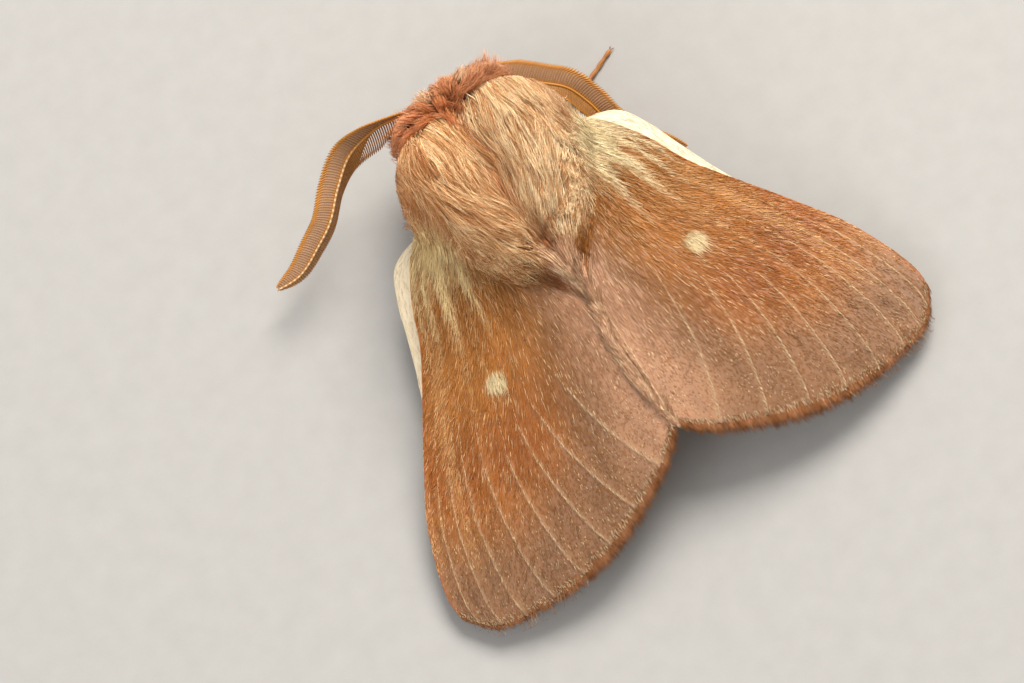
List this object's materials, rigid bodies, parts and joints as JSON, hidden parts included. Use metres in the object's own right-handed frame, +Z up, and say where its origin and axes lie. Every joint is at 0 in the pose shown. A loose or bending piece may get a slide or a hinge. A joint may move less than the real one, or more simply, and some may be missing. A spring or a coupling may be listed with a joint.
{
  "type": "moth",
  "caption": "Still, life-size male eggar moth at rest: furry body, brown wings folded as a low roof over cream hindwings, comb-like feelers.",
  "frame": {"origin": "centre of the moth's box on the floor that it stands on", "axes": "+Z up, -Y the way the moth faces, +X towards the moth's left side"},
  "size_m": [0.0256, 0.0232, 0.0085],
  "materials": {
    "thorax_fur": "long soft fawn fur, rusty at the roots",
    "collar_fur": "short rusty ruff",
    "head_fur": "short rusty fur",
    "abdomen_fur": "soft brown fur",
    "palp_fur": "short rusty fur",
    "leg_fur": "short brown fur",
    "forewing_scales": "hair-like scales with a soft sheen",
    "hindwing_scales": "pale velvety scales",
    "feeler": "amber horn, slightly glossy",
    "eye": "dark and glossy, finely faceted"
  },
  "bodies": {
    "root": {"abdomen": "abdomen_fur", "collar": "collar_fur", "eye_left": "eye", "eye_right": "eye", "feeler_left": "feeler", "feeler_right": "feeler", "foreleg_left_foot": "leg_fur", "foreleg_left_shin": "leg_fur", "foreleg_left_thigh": "leg_fur", "foreleg_right_foot": "leg_fur", "foreleg_right_shin": "leg_fur", "foreleg_right_thigh": "leg_fur", "forewing_left": "forewing_scales", "forewing_right": "forewing_scales", "head": "head_fur", "hindleg_left_foot": "leg_fur", "hindleg_left_shin": "leg_fur", "hindleg_left_thigh": "leg_fur", "hindleg_right_foot": "leg_fur", "hindleg_right_shin": "leg_fur", "hindleg_right_thigh": "leg_fur", "hindwing_left": "hindwing_scales", "hindwing_right": "hindwing_scales", "midleg_left_foot": "leg_fur", "midleg_left_shin": "leg_fur", "midleg_left_thigh": "leg_fur", "midleg_right_foot": "leg_fur", "midleg_right_shin": "leg_fur", "midleg_right_thigh": "leg_fur", "palp_left": "palp_fur", "palp_right": "palp_fur", "thorax": "thorax_fur"}
  },
  "joints": []
}
